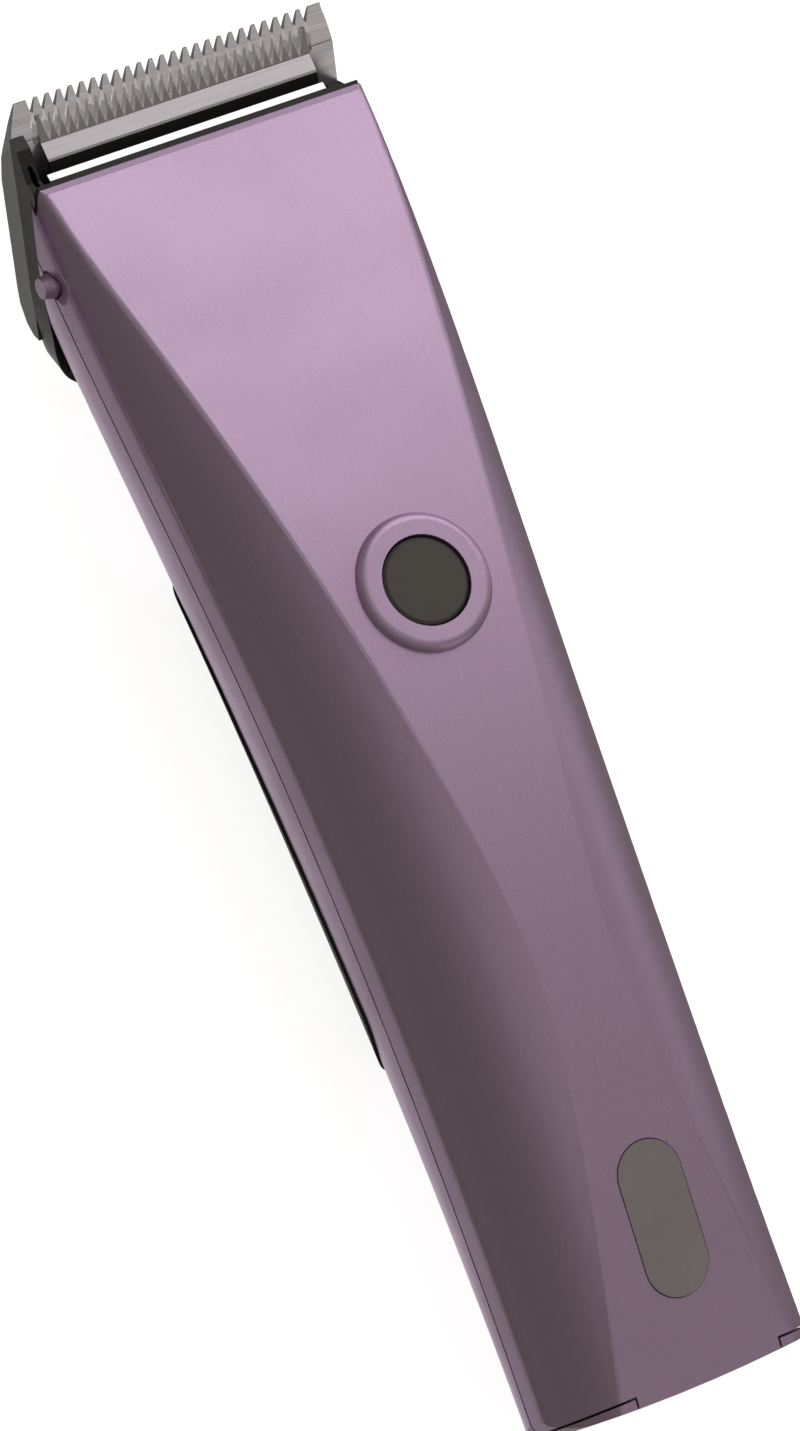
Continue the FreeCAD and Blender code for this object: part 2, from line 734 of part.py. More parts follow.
def comb_slot_tool(side, radius, low, high):
    """A slot along the blade's slope that lets the comb slide back on its screws."""
    across = side * COMB_SCREW_ACROSS
    near, far = COMB_SCREW_BACK - size("comb_travel") - 0.1, COMB_SCREW_BACK + 0.1
    rounds = [Part.makeCylinder(radius, high - low, V(across, *blade_point(back, low)), blade_normal())
              for back in (near, far)]
    middle = blade_tools([[(across - radius, near), (across + radius, near),
                           (across + radius, far), (across - radius, far)]], low, high)
    return rounds[0].fuse([rounds[1]] + middle)


def make_comb_screws():
    for side, name in ((-1, "left"), (1, "right")):
        foot = V(side * COMB_SCREW_ACROSS, *blade_point(COMB_SCREW_BACK, -2.7))
        shank = f"{COMB_SCREW_RADIUS - 0.01}"
        turned_piece(f"comb_screw_{name}", place(foot, blade_normal()), [
            ("0", "0"), ("2.4", "0"), ("2.4", "1.1"), (shank, "1.1"), (shank, "5.2"), ("0", "5.2"),
        ])


def cutter_gap(middle):
    """V-shaped gap between two cutter teeth; its flanks slope, so that each tooth ends in a ridge."""
    start, root = size("cutter_setback"), size("cutter_root")
    faces = []
    for up, wide, narrow, end in ((-0.3, 0.2, 0.02, root - 1.2), (0.9, 2.4, 0.02, root + 0.35)):
        outline = [(middle - wide, start - 1.0), (middle + wide, start - 1.0), (middle + narrow, end),
                   (middle - narrow, end)]
        corners = [V(x, *blade_point(back, up)) for x, back in outline]
        faces.append(Part.makePolygon(corners + corners[:1]))
    return Part.makeLoft(faces, True, True)


def make_cutter():
    half, thick = size("cutter_half_width"), size("cutter_thick")
    start, root = size("cutter_setback"), size("cutter_root")
    tooth, rear, shoulder = size("cutter_tooth_thick"), size("cutter_rear"), size("cutter_shoulder")
    plate = blade_prism([(start, FINE), (rear, FINE), (rear, thick - size("cutter_cover")),
                         (shoulder + 0.1, thick - size("cutter_cover")), (shoulder + 0.05, thick),
                         (shoulder - 0.23, thick - 0.15), (root, tooth), (start, 0.25)], half)
    pitch, count = size("cutter_pitch"), int(size("cutter_teeth"))
    gaps = [cutter_gap((k - count / 2) * pitch) for k in range(1, count)]
    shaped("cutter_blade", plate.cut(gaps).removeSplitter())


FORK_GAP = 3.5  # half of the fork's opening: pin radius, throw and stroke, and a little play
FORK_HALF = 5.6


def make_carriage():
    """Plastic slide over the cutter, with a fork that the drive pin pushes from side to side."""
    thick, rear = size("cutter_thick"), size("cutter_rear")
    low, front = thick - size("cutter_cover"), size("cutter_shoulder") + 0.12
    cover = blade_prism([(front, low), (rear, low), (rear, thick), (front, thick)], size("cutter_half_width"))
    saddle = blade_prism([(13.4, low), (rear + 1.6, low), (rear + 1.6, 4.0), (13.4, 3.4)], 7.0)
    near, far = rear + FINE, rear + 5.4
    drop = blade_prism([(near, 0.1), (far, 0.1), (far, 4.6), (near, 4.0)], FORK_HALF)
    tines = box((-FORK_HALF, 63.6, 13.0), (FORK_HALF, 67.4, 20.6))
    tines = tines.common(blade_prism([(14.0, 0.1), (40.0, 0.1), (40.0, 40.0), (14.0, 40.0)], SIDE))
    mouth = box((-FORK_GAP, 60.0, 14.95), (FORK_GAP, 70.9, 40.0))
    shaped("cutter_carriage", cover.fuse([saddle, drop, tines]).cut(mouth).removeSplitter())


def make_tension_bar():
    """Steel bar between the holder's arms that keeps the cutter on the comb."""
    front, rear, low = size("bar_front"), size("bar_rear"), size("cutter_thick") + 0.08
    top = low + size("bar_thick")
    profile = [(front, low), (rear, low), (rear, top), (front + size("bar_bevel"), top)]
    bar = blade_prism(profile, size("arm_inner"))
    half, end = size("bar_half_width"), front + 1.7
    corner = [(half, 0.0), (half, end), (SIDE, end), (SIDE, 0.0)]
    shaped("tension_bar", bar.cut(blade_tools([corner, mirrored(corner)], 0.0, 6.0)).removeSplitter())


# Side view of the holder ahead of the housing, as (back, up), and of its heel, as (y, z).
ARM_FRONT = [(4.2, 0.05), (5.4, 1.45), (7.4, 2.3), (9.2, 3.0), (9.7, 4.1)]
HEEL = [(52.9, 4.6), (52.9, 3.3), (55.4, 4.15), (58.7, 5.5), (58.7, 8.58)]
MOUTH_GAP = 1.25  # forward gap between the housing's mouth and the holder
ARM_RIGHT = 10.6  # where the right arm starts, back from the comb tips
ARM_SLOT = [(-21.95, 7.3), (-21.45, 7.3), (-21.15, 8.6), (-21.35, 10.6), (-21.8, 10.6)]
SEAT_TOP = 2.6
LEVER_BAY = (-0.95, 0.85)
LEVER_PIVOT = (14.0, 36.6)
LEVER_REST = -18.0


def make_pod():
    """Outer form of the holder, rounded where it meets the housing and boxy ahead of it."""
    half = size("holder_half_width")
    sections = [(44.0, half - 0.2, 20.6, 18.0, 17.9, 2.3), (54.0, half, 20.5, 17.0, 17.6, 3.0),
                (59.0, half, 20.5, 17.0, 17.6, 4.5), (66.0, half, 20.4, 16.0, 18.0, 7.0),
                (90.0, half, 20.4, 14.0, 20.0, 8.0)]
    return Part.makeLoft([ring(*values) for values in sections], True, True)


def make_hook():
    """Hook of the holder around the hinge pin, open at the rear so that the blade set comes off."""
    half, play = size("hook_half_width"), HINGE_PLAY
    middle, height = size("hinge_place"), size("hinge_height")
    eye = hinge_bar(size("knuckle_radius"), -half, half)
    web = box((-half, middle + 1.2, height - 1.1), (half, middle + 2.2, height + 1.1))
    slit = size("hinge_radius") - 0.1
    opening = box((-SIDE, middle - 5.0, height - slit), (SIDE, middle, height + slit))
    return eye.fuse(web).cut([hinge_bar(size("hinge_radius") + play, -SIDE, SIDE), opening])


def make_holder():
    """Black holder: two side arms, the left one longer, and a cross block behind the comb."""
    line = [(y + MOUTH_GAP, z) for y, z in MOUTH[1:5]]
    profile = across_prism([blade_point(*point) for point in ARM_FRONT] + [(74.9, 24.4)] + line + HEEL)
    inner = size("arm_inner")
    bay = blade_prism([(-4.0, -0.2), (19.8, -0.2), (19.8, 30.0), (-4.0, 30.0)], inner)
    seat = blade_prism([(19.0, SEAT_TOP), (50.0, SEAT_TOP), (50.0, 30.0), (19.0, 30.0)], inner)
    drive_room = blade_prism([(19.0, 0.0), (28.6, 0.0), (50.0, SEAT_TOP), (50.0, 30.0), (19.0, 30.0)], 8.4)
    holder = profile.common(make_pod()).cut([bay, seat, drive_room])
    right_front = [(inner - 1.0, -4.0), (SIDE, -4.0), (SIDE, ARM_RIGHT), (inner - 1.0, ARM_RIGHT)]
    open_right = blade_tools([right_front], -1.0, 12.0)
    slot = blade_tools([ARM_SLOT], -1.0, 12.0)
    screw_holes = []
    for side in (-1, 1):
        foot = V(side * COMB_SCREW_ACROSS, *blade_point(COMB_SCREW_BACK, -1.0))
        screw_holes.append(Part.makeCylinder(COMB_SCREW_RADIUS, 8.0, foot, blade_normal()))
    across, back = LEVER_PIVOT
    left, front, rear = across - 4.4, back - 5.2, back + 5.0
    lever_bay = blade_tools([[(left, front), (SIDE, front), (SIDE, rear), (left, rear)]], *LEVER_BAY)
    knuckle_room = hinge_bar(size("knuckle_radius") + 0.3, -SIDE, SIDE)
    holder = holder.cut(open_right + slot + screw_holes + lever_bay + [knuckle_room]).fuse(make_hook())
    shaped("blade_holder", holder.removeSplitter())


def make_hinge_pin():
    half = size("knuckle_end") - 0.5
    pin = new_body("hinge_pin", place(V(-half, size("hinge_place"), size("hinge_height")), V(1, 0, 0)))
    sketch = new_sketch(pin, "XY_Plane")
    add_circle(sketch, "<<sizes>>.hinge_radius")
    pad(pin, sketch, "2 * (<<sizes>>.knuckle_end - 0.5)")


def make_lever():
    """Flat lever at the right that sets the cutting length, and the pin it turns on."""
    across, back = LEVER_PIVOT
    low, high = LEVER_BAY[0] + 0.15, LEVER_BAY[1] - 0.15
    normal = blade_normal()
    foot = V(across, *blade_point(back, low))
    hub = Part.makeCylinder(2.6, high - low, foot, normal)
    wide, narrow, near, far = 1.6, 1.1, across + 9.9, across + 11.6
    arm_outline = [(across, back - wide), (near, back - narrow), (near, back + narrow), (across, back + wide)]
    arm = blade_tools([arm_outline], low, high)[0]
    thumb_outline = [(near, back - 1.3), (far, back - 1.3), (far, back + 1.3), (near, back + 1.3)]
    thumb = blade_tools([thumb_outline], low - 0.6, high + 0.6)[0]
    bore = Part.makeCylinder(1.05, 10, foot - normal * 5, normal)
    lever = hub.fuse([arm, thumb]).cut(bore).removeSplitter()
    lever.rotate(foot, normal, LEVER_REST)
    shaped("length_lever", lever)
    pin_foot = V(across, *blade_point(back, LEVER_BAY[0]))
    turned_piece("lever_pin", place(pin_foot, normal), [("0", "0"), ("1", "0"), ("1", "1.8"), ("0", "1.8")])


# ---------------------------------------------------------------- motor


def motor_axis(at):
    """Placement on the motor's axis, its Z towards the blade."""
    return place(V(0, at, size("axis_height")), V(0, 1, 0))


def make_motor():
    radius, wall = "<<sizes>>.motor_radius", "<<sizes>>.motor_wall"
    shaft, gap = "<<sizes>>.shaft_radius", "<<sizes>>.bearing_gap"
    bore = f"({shaft} + {gap})"
    length = "(<<sizes>>.motor_front - <<sizes>>.motor_rear)"
    turned_piece("motor_can", motor_axis(size("motor_rear")), [
        (f"{radius} - {wall}", "4.0"),
        (radius, "4.0"),
        (radius, f"{length} - 1.2"),
        (f"{radius} - 1.2", length),
        ("3.0", length),
        ("3.0", f"{length} + 1.4"),
        (bore, f"{length} + 1.4"),
        (bore, f"{length} - {wall}"),
        (f"{radius} - {wall}", f"{length} - {wall}"),
    ])
    turned_piece("motor_end_bell", motor_axis(size("motor_rear")), [
        (bore, "0"), ("3.0", "0"), ("3.0", "0.8"), (radius, "0.8"), (radius, "4.0"), (bore, "4.0"),
    ])
    turned_piece("motor_magnets", motor_axis(size("motor_rear")), [
        (f"{radius} - {wall} - 1.9", "9.0"),
        (f"{radius} - {wall} - 0.02", "9.0"),
        (f"{radius} - {wall} - 0.02", "27.0"),
        (f"{radius} - {wall} - 1.9", "27.0"),
    ])
    turned_piece("rotor_core", motor_axis(size("motor_rear")), [
        (shaft, "9.5"),
        ("<<sizes>>.rotor_radius", "9.5"),
        ("<<sizes>>.rotor_radius", "26.5"),
        (shaft, "26.5"),
    ])
    turned_piece("commutator", motor_axis(size("motor_rear")), [
        (shaft, "4.8"), ("2.6", "4.8"), ("2.6", "8.6"), (shaft, "8.6"),
    ])
    turned_piece("motor_shaft", motor_axis(size("motor_rear")), [
        ("0", "-1.0"),
        (shaft, "-1.0"),
        (shaft, "<<sizes>>.cam_front - <<sizes>>.motor_rear - 0.6"),
        ("0", "<<sizes>>.cam_front - <<sizes>>.motor_rear - 0.6"),
    ])
    for side, name in ((-1, "left"), (1, "right")):
        tab = new_body(f"motor_tab_{name}", motor_axis(size("motor_rear") + 0.78))
        sketch = new_sketch(tab, "XY_Plane")
        add_outline(sketch, [(f"{6 * side + 1}", "-0.3"), (f"{6 * side + 1}", "0.3"),
                             (f"{6 * side - 1}", "0.3"), (f"{6 * side - 1}", "-0.3")])
        pad(tab, sketch, "3.2", reverse=True)


def make_cam():
    """Cam on the shaft, its offset drive pin and a brass balance weight on the other side."""
    axis = motor_axis(size("cam_rear"))
    turned_piece("eccentric_cam", axis, [
        ("<<sizes>>.shaft_radius", "0"),
        ("<<sizes>>.cam_radius", "0"),
        ("<<sizes>>.cam_radius", "2.4"),
        ("3.4", "<<sizes>>.cam_front - <<sizes>>.cam_rear"),
        ("0", "<<sizes>>.cam_front - <<sizes>>.cam_rear"),
        ("0", "<<sizes>>.cam_front - <<sizes>>.cam_rear - 0.6"),
        ("<<sizes>>.shaft_radius", "<<sizes>>.cam_front - <<sizes>>.cam_rear - 0.6"),
    ])
    cam_front = size("cam_front")
    pin = new_body("drive_pin", place(V(0, cam_front, size("axis_height") + size("pin_throw")), V(0, 1, 0)))
    sketch = new_sketch(pin, "XY_Plane")
    add_circle(sketch, "<<sizes>>.pin_radius")
    pad(pin, sketch, "<<sizes>>.pin_front - <<sizes>>.cam_front")
    middle = V(0, size("cam_rear"), size("axis_height"))
    ring_part = Part.makeCylinder(5.9, 2.2, middle, V(0, 1, 0))
    ring_part = ring_part.cut(Part.makeCylinder(size("cam_radius"), 2.2, middle, V(0, 1, 0)))
    lower = box((-SIDE, 0, -20), (SIDE, 100, size("axis_height") - 1.5))
    shaped("balance_weight", ring_part.common(lower))


def make_cradle():
    """Bulkhead that the motor's front face is screwed to."""
    front = size("motor_front")
    plate = tube(-size("wall") - 0.25).common(side_form(-size("wall") - 0.25))
    plate = plate.common(box((-SIDE, front + 0.02, -20), (SIDE, front + 1.62, 80)))
    axis = size("axis_height")
    middle = V(0, front - 1, axis)
    plate = plate.cut(Part.makeCylinder(3.1, 6, middle, V(0, 1, 0)))
    for side in (-1, 1):
        plate = plate.cut(Part.makeCylinder(1.05, 6, V(side * 8.0, front - 1, axis), V(0, 1, 0)))
    plate = plate.cut(box((-SIDE, front - 1, -20), (SIDE, front + 3, 6.6)))
    shaped("motor_cradle", plate.removeSplitter())
    for side, name in ((-1, "left"), (1, "right")):
        seat = place(V(side * 8.0, front + 1.64, axis), V(0, 1, 0))
        turned_piece(f"motor_screw_{name}", seat, [
            ("0", "1.0"), ("0", "-1.6"), ("1.0", "-1.6"), ("1.0", "0"), ("1.9", "0"), ("1.9", "1.0"),
        ])
    foot, width = V(0, size("motor_rear") + 6, axis), 5.0
    band = Part.makeCylinder(size("motor_radius") + 0.9, width, foot, V(0, 1, 0))
    shaped("motor_damper", band.cut(Part.makeCylinder(size("motor_radius") + FINE, width, foot, V(0, 1, 0))))


# ---------------------------------------------------------------- cell, boards, socket, screws


def make_cell():
    radius, length = "<<sizes>>.cell_radius", "<<sizes>>.cell_length"
    tail, height = size("cell_tail"), size("cell_height")
    turned_piece("battery_cell", place(V(0, tail, height), V(0, 1, 0)), [
        ("0", "0"), (radius, "0"), (radius, length), ("2.8", length), ("2.8", f"{length} + 0.9"),
        ("0", f"{length} + 0.9"),
    ])
    for name, at, thick in (("tail", tail - 0.35, 0.3), ("front", tail + size("cell_length") + 0.92, 0.3)):
        tab = new_body(f"cell_tab_{name}", place(V(0, at, height), V(0, 1, 0)))
        sketch = new_sketch(tab, "XY_Plane")
        add_rectangle(sketch, "4.0", "12.0")
        pad(tab, sketch, f"{thick}")


def make_boards():
    board = new_body("circuit_board", place(V(0, size("board_middle"), size("board_height"))))
    sketch = new_sketch(board, "XY_Plane")
    add_rectangle(sketch, "<<sizes>>.board_width", "<<sizes>>.board_length")
    pad(board, sketch, "<<sizes>>.board_thick")
    top = size("board_height") + size("board_thick")
    switch = new_body("micro_switch", place(V(0, size("button_place"), top + 0.01)))
    sketch = new_sketch(switch, "XY_Plane")
    add_rectangle(sketch, "5.0", "5.0")
    pad(switch, sketch, "0.5")
    lamp_board = new_body("lamp_board", place(V(0, size("lens_place"), 24.6)))
    sketch = new_sketch(lamp_board, "XY_Plane")
    add_rectangle(sketch, "10.0", "16.0")
    pad(lamp_board, sketch, "1.0")
    for k in range(3):
        lamp = new_body(f"lamp_chip_{k + 1}", place(V(0, size("lens_place") + (k - 1) * 5.0, 25.61)))
        sketch = new_sketch(lamp, "XY_Plane")
        add_rectangle(sketch, "2.0", "1.6")
        pad(lamp, sketch, "0.8")


def make_socket():
    """Charging socket behind the tail cap, its mouth towards -Y."""
    tail, radius = size("face_tail"), "<<sizes>>.socket_radius"
    bore, depth = "<<sizes>>.socket_bore", "<<sizes>>.socket_depth"
    turned_piece("charge_socket", place(V(0, tail + 0.35, size("socket_height")), V(0, 1, 0)), [
        (bore, "0"), (radius, "0"), (radius, f"{depth} + 1.2"), ("0", f"{depth} + 1.2"), ("0", depth),
        (bore, depth),
    ])


def make_housing_screws():
    for name, (across, at, seat) in SCREWS.items():
        length = BOSS_TOP - seat + 4.0
        turned_piece(f"housing_screw_{name}", place(V(across, at, seat)), [
            ("0", "-1.6"),
            (f"{SCREW_HEAD}", "-1.6"),
            (f"{SCREW_HEAD}", "0"),
            (f"{SCREW_SHANK}", "0"),
            (f"{SCREW_SHANK}", f"{length}"),
            ("0", f"{length}"),
        ])


make_housing()
make_grip()
make_liner()
make_button()
make_lens()
make_comb()
make_comb_screws()
make_cutter()
make_carriage()
make_tension_bar()
make_holder()
make_hinge_pin()
make_lever()
make_motor()
make_cam()
make_cradle()
make_cell()
make_boards()
make_socket()
make_housing_screws()
doc.recompute()

# ---------------------------------------------------------------- checks and files

for thing in doc.Objects:
    if "Invalid" in thing.State or "Error" in thing.State:
        raise RuntimeError(f"{thing.Label} did not compute: {thing.State}")
for piece in pieces:
    if piece.Shape.isNull() or not piece.Shape.isValid() or len(piece.Shape.Solids) != 1:
        raise RuntimeError(f"{piece.Label} is not one valid solid: {len(piece.Shape.Solids)} solids")

os.makedirs("parts", exist_ok=True)
for piece in pieces:
    piece.Shape.exportStep(f"parts/{piece.Label}.step")
print(len(pieces), "sub-parts written")
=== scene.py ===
"""Looks of a cordless pet clipper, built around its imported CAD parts. Metres, in the parts' own frame."""
import math

import bmesh
import bpy
from mathutils import Matrix, Vector

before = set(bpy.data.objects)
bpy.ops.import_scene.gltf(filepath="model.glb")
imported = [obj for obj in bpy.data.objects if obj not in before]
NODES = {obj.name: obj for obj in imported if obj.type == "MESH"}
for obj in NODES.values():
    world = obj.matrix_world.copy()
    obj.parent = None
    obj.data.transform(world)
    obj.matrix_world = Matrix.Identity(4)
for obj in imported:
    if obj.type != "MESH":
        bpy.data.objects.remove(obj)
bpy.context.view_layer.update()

MM = 0.001

# The camera: where it stands, the direction behind it, and the direction up in its picture.
CAMERA_PLACE = (-0.4156, -0.0527, 0.8952)
CAMERA_BACK = (-0.4267, -0.0562, 0.9027)
CAMERA_UP = (0.3206, 0.9239, 0.2091)
CAMERA_LENS = 202.7
CAMERA_SENSOR = 36.0

# The round floor: flat part, bend at its rim, wall above the bend.
FLOOR_RADIUS = 2.2
FLOOR_BEND = 0.8
FLOOR_BEND_STEPS = 8
FLOOR_HEIGHT = 3.0
FLOOR_SIDES = 96
FLOOR_GLOW = 0.86
FLOOR_CLEAR = 0.05 * MM  # keeps the floor off the flat of the grip

# The colour of the surroundings straight down, below the horizon, above it and overhead.
SURROUNDINGS = [
    (0.0, (0.95, 0.94, 0.93)),
    (0.09, (0.14, 0.138, 0.115)),
    (0.8, (0.14, 0.137, 0.112)),
    (0.97, (0.34, 0.325, 0.3)),
]

# Area lights: name, place, width, height, power and colour. All of them face MIDDLE.
MIDDLE = (0.0, 0.0, 0.02)
LIGHTS = [
    ("key", (0.64, 0.72, 0.78), 1.05, 1.05, 4.8, (0.98, 0.96, 0.99)),
    ("blade_fill", (0.52, -0.95, 0.52), 0.5, 0.4, 0.6, (1.0, 0.97, 0.98)),
    ("right_fill", (1.1, 0.1, 0.25), 0.5, 0.4, 0.5, (1.0, 0.98, 1.0)),
    ("rim", (-0.8, 1.0, 0.4), 0.2, 0.4, 0.2, (1.0, 1.0, 1.0)),
]

# Base colours, and how a pattern of scratches is stretched along each axis.
PAINT = (0.60, 0.43, 0.62)
PAINT_METAL = 0.82
PAINT_ROUGHNESS = 0.46
BLACK = (0.014, 0.012, 0.010)
STEEL = (0.64, 0.61, 0.63)
ACROSS = (60.0, 3500.0, 3500.0)  # scratches that run along X
AROUND = (900.0, 4000.0, 900.0)  # turned marks around a Y axis
ALONG = (4000.0, 150.0, 4000.0)  # scratches that run along Y
# The pale colour painted on tooth flanks that face left and right: a painted highlight.
PAINTED_FLANK_HIGHLIGHT = (0.93, 0.91, 0.92)
GROUND_DARK = 0.86  # the shades of ground steel, from the bottom of a scratch to its edge
GROUND_LIGHT = 1.1
SCRATCH_DEPTH = 0.004 * MM


# ---------------------------------------------------------------- camera, light and floor


def look_at(obj, place, back, up):
    """Puts obj at place, looking against back, with up as near upright as it can be."""
    back = Vector(back).normalized()
    right = Vector(up).cross(back).normalized()
    turn = Matrix((right, back.cross(right), back)).transposed()
    obj.matrix_world = Matrix.Translation(place) @ turn.to_4x4()


def add_camera():
    """The camera, at the angle that the picture is taken from."""
    data = bpy.data.cameras.new("camera")
    data.lens = CAMERA_LENS
    data.sensor_width = CAMERA_SENSOR
    data.clip_end = 10.0
    camera = bpy.data.objects.new("camera", data)
    bpy.context.scene.collection.objects.link(camera)
    look_at(camera, CAMERA_PLACE, CAMERA_BACK, CAMERA_UP)
    bpy.context.scene.camera = camera


def add_area_light(name, place, width, height, power, colour):
    """A rectangular soft light that faces MIDDLE."""
    data = bpy.data.lights.new(name, "AREA")
    data.shape = "RECTANGLE"
    data.size = width
    data.size_y = height
    data.energy = power
    data.color = colour
    light = bpy.data.objects.new(name, data)
    light.visible_camera = False
    bpy.context.scene.collection.objects.link(light)
    look_at(light, place, Vector(place) - Vector(MIDDLE), (0.0, 0.0, 1.0))


def add_world():
    """Dim warm surroundings, and below them the glow of a pale floor, by the height of the direction."""
    world = bpy.data.worlds.new("world")
    world.use_nodes = True
    nodes, links = world.node_tree.nodes, world.node_tree.links
    split = nodes.new("ShaderNodeSeparateXYZ")
    links.new(nodes.new("ShaderNodeTexCoord").outputs["Generated"], split.inputs["Vector"])
    height = nodes.new("ShaderNodeMapRange")
    height.inputs["From Min"].default_value = -1.0
    links.new(split.outputs["Z"], height.inputs["Value"])
    ramp = nodes.new("ShaderNodeValToRGB")
    ramp.color_ramp.interpolation = "EASE"
    links.new(height.outputs["Result"], ramp.inputs["Fac"])
    stops = ramp.color_ramp.elements
    stops.remove(stops[1])
    for place, colour in SURROUNDINGS[1:]:
        stops.new(place).color = (*colour, 1.0)
    stops[0].color = (*SURROUNDINGS[0][1], 1.0)
    links.new(ramp.outputs["Color"], nodes["Background"].inputs["Color"])
    bpy.context.scene.world = world


def add_floor():
    """A round pale floor whose rim curves up to a wall; it glows, and lights or shades nothing itself."""
    mesh = bpy.data.meshes.new("floor")
    work = bmesh.new()
    rings = [(0.0, 0.0), (FLOOR_RADIUS, 0.0)]
    for step in range(1, FLOOR_BEND_STEPS + 1):
        angle = math.radians(step * 90.0 / FLOOR_BEND_STEPS)
        rings.append((FLOOR_RADIUS + FLOOR_BEND * math.sin(angle), FLOOR_BEND * (1.0 - math.cos(angle))))
    rings.append((FLOOR_RADIUS + FLOOR_BEND, FLOOR_HEIGHT))
    profile = [work.verts.new((radius, 0.0, height)) for radius, height in rings]
    edges = [work.edges.new(pair) for pair in zip(profile, profile[1:])]
    bmesh.ops.spin(
        work, geom=profile + edges, axis=(0, 0, 1), cent=(0, 0, 0), angle=math.tau, steps=FLOOR_SIDES
    )
    bmesh.ops.remove_doubles(work, verts=work.verts, dist=MM)
    work.to_mesh(mesh)
    work.free()
    floor = bpy.data.objects.new("floor", mesh)
    floor.location.z = -FLOOR_CLEAR
    bpy.context.scene.collection.objects.link(floor)
    shader = Shader("floor")
    shader.set(Base_Color=(0.9, 0.9, 0.9, 1.0), Roughness=1.0, Specular_IOR_Level=0.0)
    shader.set(Emission_Color=(1.0, 1.0, 1.0, 1.0), Emission_Strength=FLOOR_GLOW)
    mesh.materials.append(shader.material)
    floor.visible_glossy = False
    floor.visible_diffuse = False
    floor.visible_shadow = False


# ---------------------------------------------------------------- materials


class Shader:
    """A node material under construction: a Principled shader and helpers that feed it."""

    def __init__(self, name):
        self.material = bpy.data.materials.new(name)
        self.material.use_nodes = True
        self.tree = self.material.node_tree
        self.shade = self.tree.nodes["Principled BSDF"]
        self.place = self.node("TexCoord").outputs["Object"]

    def set(self, **values):
        """Sets the shader's own sockets, whose names have underscores here for their spaces."""
        for socket, value in values.items():
            self.shade.inputs[socket.replace("_", " ")].default_value = value

    def node(self, kind, inputs=None, **settings):
        """A new node, with its settings and its inputs, which are values or other nodes' sockets."""
        node = self.tree.nodes.new("ShaderNode" + kind)
        for key, value in settings.items():
            setattr(node, key, value)
        for key, value in (inputs or {}).items():
            if isinstance(value, bpy.types.NodeSocket):
                self.tree.links.new(value, node.inputs[key])
            else:
                node.inputs[key].default_value = value
        return node

    def link(self, source, socket):
        """Feeds a socket of the shader from another node."""
        self.tree.links.new(source, self.shade.inputs[socket])

    def stretched(self, x, y, z):
        """The object's coordinates, multiplied along each axis."""
        return self.node("Mapping", {"Vector": self.place, "Scale": (x, y, z)}).outputs["Vector"]

    def noise(self, scale, detail=3.0, rough=0.5, vector=None):
        """Cloudy noise, over the object's coordinates unless told otherwise."""
        inputs = {"Vector": vector or self.place, "Scale": scale, "Detail": detail, "Roughness": rough}
        return self.node("TexNoise", inputs).outputs["Fac"]

    def cells(self, scale):
        """A random colour for each cell of a fine mosaic."""
        return self.node("TexVoronoi", {"Vector": self.place, "Scale": scale}).outputs["Color"]

    def span(self, value, low, high, start=0.0, end=1.0):
        """Value mapped from start..end to low..high."""
        inputs = {"Value": value, "From Min": start, "From Max": end, "To Min": low, "To Max": high}
        return self.node("MapRange", inputs).outputs["Result"]

    def blend(self, factor, dark, light):
        """A colour between dark and light, by factor."""
        ramp = self.node("ValToRGB", {"Fac": factor})
        ramp.color_ramp.elements[0].color = (*dark, 1.0)
        ramp.color_ramp.elements[1].color = (*light, 1.0)
        return ramp.outputs["Color"]

    def bump(self, height, distance, strength=1.0):
        """Roughens the surface by a height, up to distance."""
        inputs = {"Height": height, "Distance": distance, "Strength": strength}
        self.link(self.node("Bump", inputs).outputs["Normal"], "Normal")
        return self


def scaled(colour, factor):
    """A colour, made lighter or darker."""
    return tuple(channel * factor for channel in colour)


def satin_paint():
    """Metallic satin paint: fine flakes, slow drift of gloss and a faint orange peel."""
    shader = Shader("painted_shell")
    shader.set(Metallic=PAINT_METAL, Specular_IOR_Level=0.5, Coat_Weight=0.12, Coat_Roughness=0.22)
    flakes = shader.cells(9000.0)
    flake = shader.node("SeparateColor", {"Color": flakes}).outputs["Red"]
    shader.link(shader.blend(flake, scaled(PAINT, 0.93), scaled(PAINT, 1.07)), "Base Color")
    drift = shader.noise(60.0)
    shader.link(shader.span(drift, PAINT_ROUGHNESS - 0.03, PAINT_ROUGHNESS + 0.03, 0.3, 0.7), "Roughness")
    return shader.bump(shader.noise(1400.0, 2.0), 0.02 * MM, 0.25).material


def moulded(name, colour, roughness, grain=2500.0, depth=0.02, spread=0.12):
    """Moulded plastic with a fine spark-eroded grain and slightly uneven gloss."""
    shader = Shader(name)
    shade = shader.noise(120.0, 2.0)
    uneven = shader.blend(shade, scaled(colour, 1.0 - spread), scaled(colour, 1.0 + spread))
    shader.link(uneven, "Base Color")
    grain_height = shader.noise(grain, 4.0, 0.6)
    shader.link(shader.span(grain_height, roughness - 0.06, roughness + 0.08, 0.3, 0.7), "Roughness")
    return shader.bump(grain_height, depth * MM, 0.6).material


def rubber(name, colour):
    """Soft-touch rubber with a pebbled grain."""
    shader = Shader(name)
    cells = shader.node("TexVoronoi", {"Vector": shader.place, "Scale": 1300.0}, feature="SMOOTH_F1")
    pebble = cells.outputs["Distance"]
    shader.link(shader.blend(shader.noise(90.0), scaled(colour, 0.8), scaled(colour, 1.25)), "Base Color")
    shader.link(shader.span(pebble, 0.72, 0.6), "Roughness")
    shader.set(Sheen_Weight=0.15, Sheen_Roughness=0.5)
    return shader.bump(pebble, 0.08 * MM, 0.5).material


